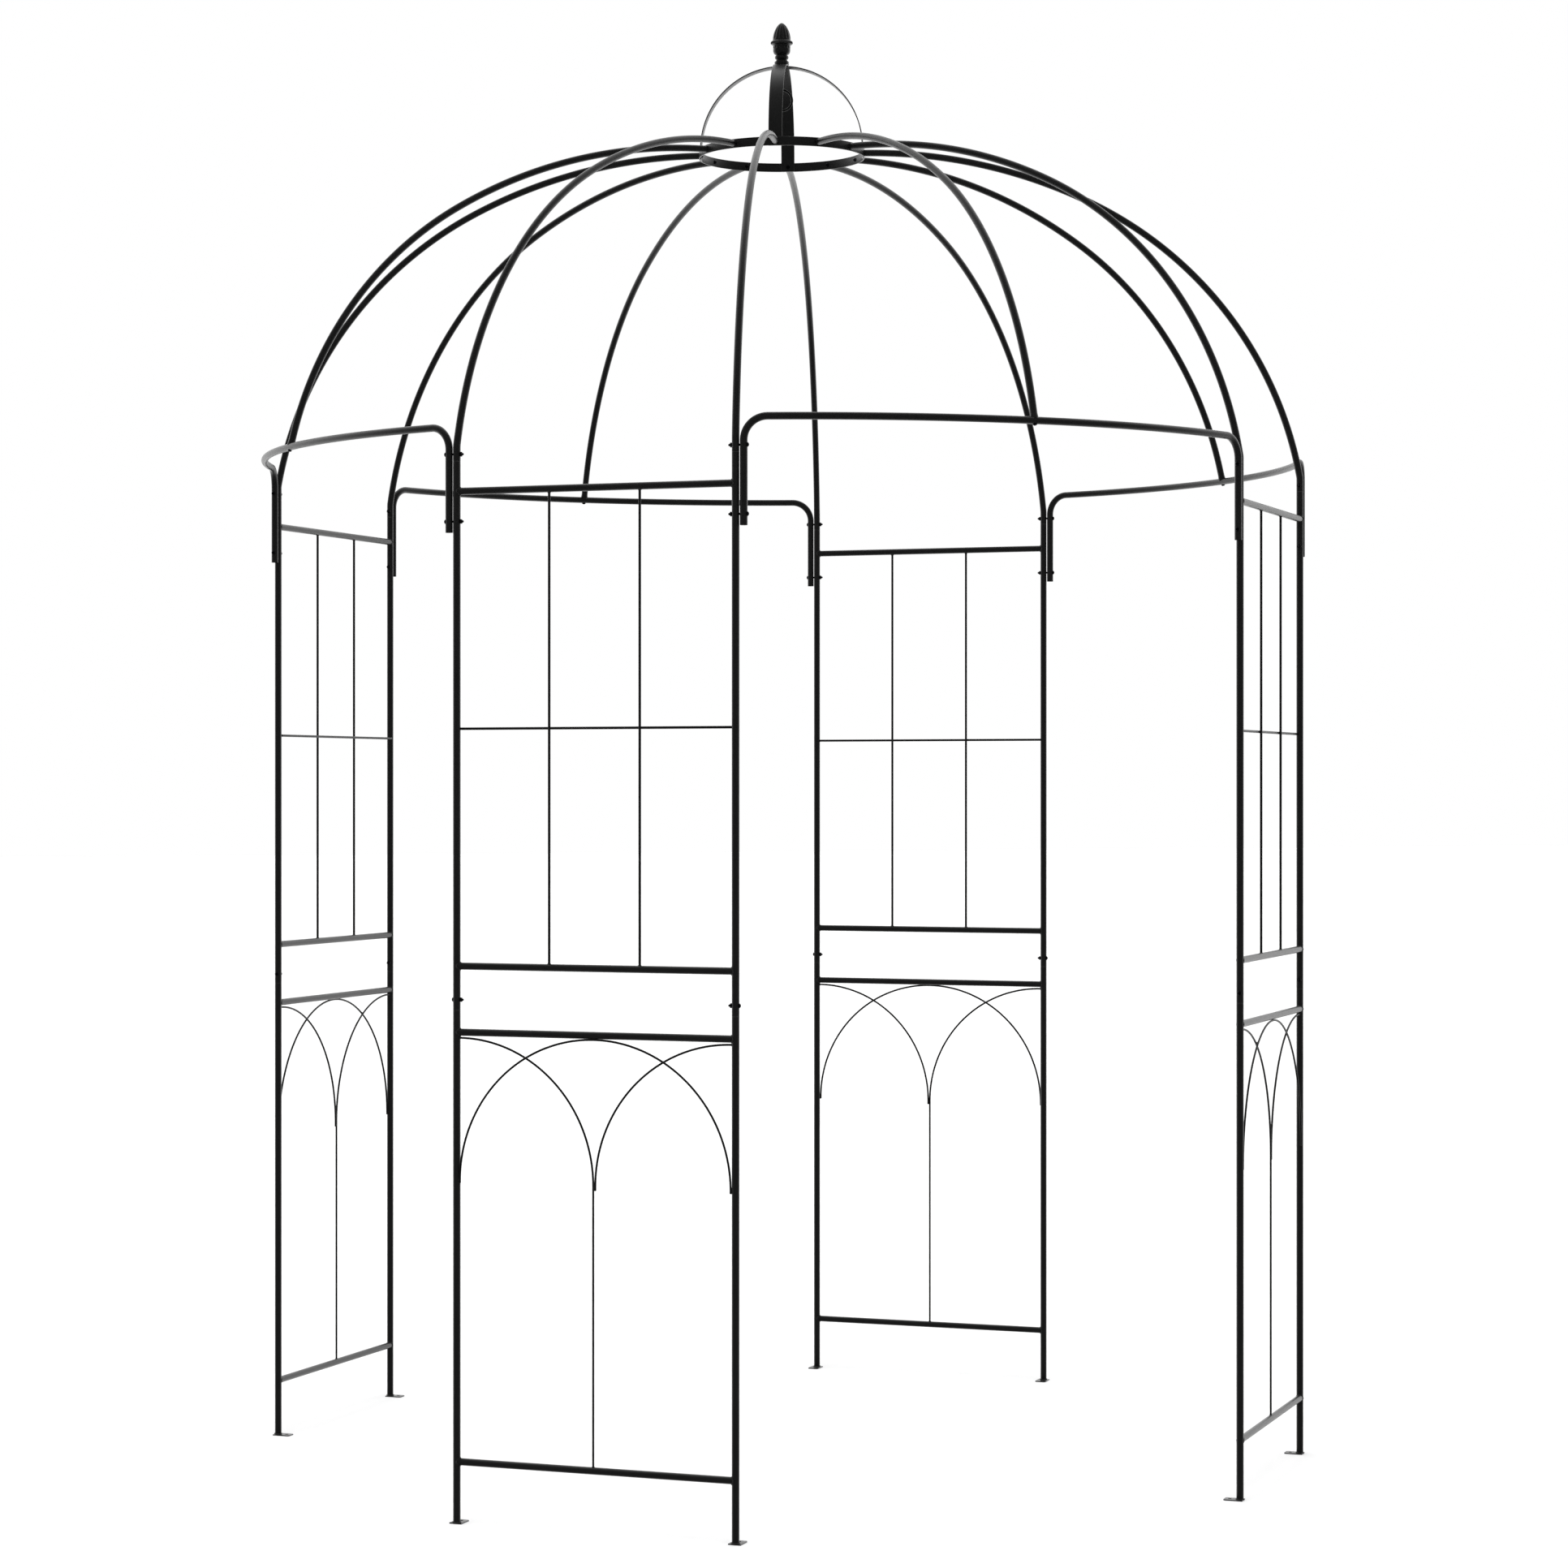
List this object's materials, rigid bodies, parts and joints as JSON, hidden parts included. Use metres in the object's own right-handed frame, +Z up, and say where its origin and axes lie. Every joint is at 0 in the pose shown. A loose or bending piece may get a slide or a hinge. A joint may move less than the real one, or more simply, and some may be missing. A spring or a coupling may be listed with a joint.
{
  "type": "garden trellis arch",
  "caption": "Round domed garden trellis arch of black steel tube: trellis panels, doorways, curved ribs, crown ring, finial and lantern hook.",
  "frame": {"origin": "on the ground at the centre of the post circle", "axes": "+Z up along the dome's axis; +X and +Y out through the middles of two doorways"},
  "size_m": [2.003, 2.003, 2.748],
  "materials": {
    "tube_coat": "satin black powder coat on steel tube",
    "wire_coat": "satin black powder coat on steel wire",
    "strip_coat": "satin black powder coat on flat steel strip",
    "casting_coat": "satin black powder coat on a cast finial",
    "fastener_coat": "black coated steel bolts, screws and nuts",
    "insert_steel": "plain turned steel"
  },
  "bodies": {
    "root": {"bolt_nuts": "fastener_coat", "crown_ring": "strip_coat", "doorway_1_rib": "tube_coat", "doorway_1_tie_bar": "tube_coat", "doorway_2_rib": "tube_coat", "doorway_2_tie_bar": "tube_coat", "doorway_3_rib": "tube_coat", "doorway_3_tie_bar": "tube_coat", "doorway_4_rib": "tube_coat", "doorway_4_tie_bar": "tube_coat", "finial": "casting_coat", "foot_tabs": "tube_coat", "hook_nut": "fastener_coat", "lantern_hook": "wire_coat", "lower_crown_hoop": "strip_coat", "panel_1_arch_wires": "wire_coat", "panel_1_grid_wires": "wire_coat", "panel_1_left_rib": "tube_coat", "panel_1_lower_left_post": "tube_coat", "panel_1_lower_rails": "tube_coat", "panel_1_lower_right_post": "tube_coat", "panel_1_right_rib": "tube_coat", "panel_1_upper_left_post": "tube_coat", "panel_1_upper_rails": "tube_coat", "panel_1_upper_right_post": "tube_coat", "panel_2_arch_wires": "wire_coat", "panel_2_grid_wires": "wire_coat", "panel_2_left_rib": "tube_coat", "panel_2_lower_left_post": "tube_coat", "panel_2_lower_rails": "tube_coat", "panel_2_lower_right_post": "tube_coat", "panel_2_right_rib": "tube_coat", "panel_2_upper_left_post": "tube_coat", "panel_2_upper_rails": "tube_coat", "panel_2_upper_right_post": "tube_coat", "panel_3_arch_wires": "wire_coat", "panel_3_grid_wires": "wire_coat", "panel_3_left_rib": "tube_coat", "panel_3_lower_left_post": "tube_coat", "panel_3_lower_rails": "tube_coat", "panel_3_lower_right_post": "tube_coat", "panel_3_right_rib": "tube_coat", "panel_3_upper_left_post": "tube_coat", "panel_3_upper_rails": "tube_coat", "panel_3_upper_right_post": "tube_coat", "panel_4_arch_wires": "wire_coat", "panel_4_grid_wires": "wire_coat", "panel_4_left_rib": "tube_coat", "panel_4_lower_left_post": "tube_coat", "panel_4_lower_rails": "tube_coat", "panel_4_lower_right_post": "tube_coat", "panel_4_right_rib": "tube_coat", "panel_4_upper_left_post": "tube_coat", "panel_4_upper_rails": "tube_coat", "panel_4_upper_right_post": "tube_coat", "post_joint_bolts": "fastener_coat", "rib_inserts": "insert_steel", "rib_screws": "fastener_coat", "tie_bar_bolts": "fastener_coat", "upper_crown_hoop": "strip_coat"}
  },
  "joints": []
}
